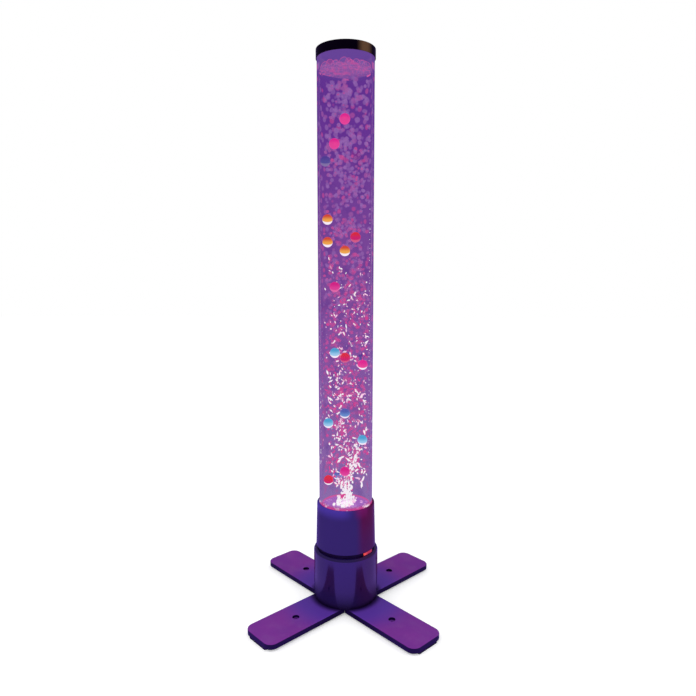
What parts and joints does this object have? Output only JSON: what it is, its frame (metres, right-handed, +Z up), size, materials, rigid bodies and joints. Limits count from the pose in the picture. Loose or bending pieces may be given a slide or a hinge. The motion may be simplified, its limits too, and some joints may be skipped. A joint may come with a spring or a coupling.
{
  "type": "bubble tube floor lamp",
  "caption": "Tall clear water tube with drifting coloured balls, lit and aerated from a round housing that stands on four flat crossed legs, closed by a lift-off cap.",
  "frame": {"origin": "on the floor, at the centre of the lamp's square stance, below the tube's axis", "axes": "+Z up along the tube, front towards -Y, +X to the right when seen from the front; the power inlet and the button are at the back, +Y"},
  "size_m": [0.336, 0.336, 1.0105],
  "materials": {
    "leg": "satin moulded violet",
    "foot": "matt black rubber",
    "housing": "polished deep violet",
    "neck": "dark matt ring",
    "lens": "clear red-orange lens",
    "clear": "clear acrylic",
    "cap": "gloss black",
    "seal": "soft black rubber",
    "hose": "milky silicone",
    "screw": "zinc plated",
    "nozzle": "turned brass",
    "plate": "moulded black",
    "board": "green lacquered board",
    "chip": "moulded chip",
    "light": "light body with a clear dome",
    "inlet": "black moulded inlet",
    "button": "polished violet key",
    "pump": "moulded grey case",
    "iron": "laminated iron",
    "copper": "enamelled copper winding",
    "ball_pink": "hollow moulded ball",
    "ball_orange": "hollow moulded ball",
    "ball_red": "hollow moulded ball",
    "ball_blue": "hollow moulded ball",
    "ball_cyan": "hollow moulded ball",
    "ball_magenta": "hollow moulded ball"
  },
  "bodies": {
    "root": {"leg_front_right": "leg", "leg_front_left": "leg", "leg_rear_right": "leg", "leg_rear_left": "leg", "foot_front_right": "foot", "foot_front_left": "foot", "foot_rear_right": "foot", "foot_rear_left": "foot", "leg_screws": "screw", "base_plate": "plate", "housing_screws": "screw", "lower_housing": "housing", "neck_ring": "neck", "indicator_lens": "lens", "collar_screws": "screw", "tube_collar": "housing", "acrylic_tube": "clear", "tube_floor": "clear", "air_nozzle": "nozzle", "nozzle_seal": "seal", "nozzle_nut": "nozzle", "check_valve": "plate", "air_hose": "hose", "light_board": "board", "lights": "light", "control_board": "board", "control_chips": "chip", "power_inlet": "inlet", "push_switch": "chip", "pump_mounts": "seal", "pump_case": "pump", "pump_cover": "pump", "pump_core": "iron", "pump_coil": "copper", "pump_bellows": "seal", "pump_valve_block": "plate"},
    "cap": {"tube_cap": "cap", "cap_gasket": "seal"},
    "button": {"push_button": "button"},
    "arm": {"pump_arm": "plate", "pump_magnet": "iron"},
    "ball_01": {"ball_01": "ball_magenta"},
    "ball_02": {"ball_02": "ball_blue"},
    "ball_03": {"ball_03": "ball_red"},
    "ball_04": {"ball_04": "ball_orange"},
    "ball_05": {"ball_05": "ball_pink"},
    "ball_06": {"ball_06": "ball_cyan"},
    "ball_07": {"ball_07": "ball_magenta"},
    "ball_08": {"ball_08": "ball_pink"},
    "ball_09": {"ball_09": "ball_red"},
    "ball_10": {"ball_10": "ball_cyan"},
    "ball_11": {"ball_11": "ball_orange"},
    "ball_12": {"ball_12": "ball_orange"},
    "ball_13": {"ball_13": "ball_blue"},
    "ball_14": {"ball_14": "ball_red"},
    "ball_15": {"ball_15": "ball_cyan"},
    "ball_16": {"ball_16": "ball_pink"},
    "ball_17": {"ball_17": "ball_magenta"},
    "ball_18": {"ball_18": "ball_blue"},
    "ball_19": {"ball_19": "ball_blue"}
  },
  "joints": [
    {"name": "cap_lift", "type": "slide", "parent": "root", "child": "cap", "axis": [0, 0, 1], "range_m": [0, 0.06]},
    {"name": "button_press", "type": "slide", "parent": "root", "child": "button", "axis": [0, -1, 0], "range_m": [0, 0.0015], "stiffness_N_per_m": 600, "springref_m": -0.0005},
    {"name": "pump_swing", "type": "hinge", "parent": "root", "child": "arm", "pos_m": [0.03, 0, 0.042], "axis": [0, 1, 0], "range_deg": [-2, 2], "stiffness_Nm_per_rad": 0.5, "deforming": ["pump_bellows"]},
    {"name": "ball_01_drift", "type": "slide", "parent": "root", "child": "ball_01", "axis": [0, 0, 1], "range_m": [-0.0686, 0.0453]},
    {"name": "ball_02_drift", "type": "slide", "parent": "root", "child": "ball_02", "axis": [0, 0, 1], "range_m": [-0.0453, 0.0414]},
    {"name": "ball_03_drift", "type": "slide", "parent": "root", "child": "ball_03", "axis": [0, 0, 1], "range_m": [-0.0414, 0.0843]},
    {"name": "ball_04_drift", "type": "slide", "parent": "root", "child": "ball_04", "axis": [0, 0, 1], "range_m": [-0.0843, 0.0999]},
    {"name": "ball_05_drift", "type": "slide", "parent": "root", "child": "ball_05", "axis": [0, 0, 1], "range_m": [-0.0999, 0.0769]},
    {"name": "ball_06_drift", "type": "slide", "parent": "root", "child": "ball_06", "axis": [0, 0, 1], "range_m": [-0.2873, 0.0492]},
    {"name": "ball_07_drift", "type": "slide", "parent": "root", "child": "ball_07", "axis": [0, 0, 1], "range_m": [-0.0492, 0.1117]},
    {"name": "ball_08_drift", "type": "slide", "parent": "root", "child": "ball_08", "axis": [0, 0, 1], "range_m": [-0.1117, 0.116]},
    {"name": "ball_09_drift", "type": "slide", "parent": "root", "child": "ball_09", "axis": [0, 0, 1], "range_m": [-0.0452, 0.0453]},
    {"name": "ball_10_drift", "type": "slide", "parent": "root", "child": "ball_10", "axis": [0, 0, 1], "range_m": [-0.0453, 0.1546]},
    {"name": "ball_11_drift", "type": "slide", "parent": "root", "child": "ball_11", "axis": [0, 0, 1], "range_m": [-0.1546, 0.0101]},
    {"name": "ball_12_drift", "type": "slide", "parent": "root", "child": "ball_12", "axis": [0, 0, 1], "range_m": [-0.0101, 0.2409]},
    {"name": "ball_13_drift", "type": "slide", "parent": "root", "child": "ball_13", "axis": [0, 0, 1], "range_m": [-0.6231, 0.1394]},
    {"name": "ball_14_drift", "type": "slide", "parent": "root", "child": "ball_14", "axis": [0, 0, 1], "range_m": [-0.4903, 0.2722]},
    {"name": "ball_15_drift", "type": "slide", "parent": "root", "child": "ball_15", "axis": [0, 0, 1], "range_m": [-0.1233, 0.0609]},
    {"name": "ball_16_drift", "type": "slide", "parent": "root", "child": "ball_16", "axis": [0, 0, 1], "range_m": [-0.0609, 0.4987]},
    {"name": "ball_17_drift", "type": "slide", "parent": "root", "child": "ball_17", "axis": [0, 0, 1], "range_m": [-0.6387, 0.1238]},
    {"name": "ball_18_drift", "type": "slide", "parent": "root", "child": "ball_18", "axis": [0, 0, 1], "range_m": [-0.0374, 0.7251]},
    {"name": "ball_19_drift", "type": "slide", "parent": "root", "child": "ball_19", "axis": [0, 0, 1], "range_m": [-0.2717, 0.4908]}
  ]
}
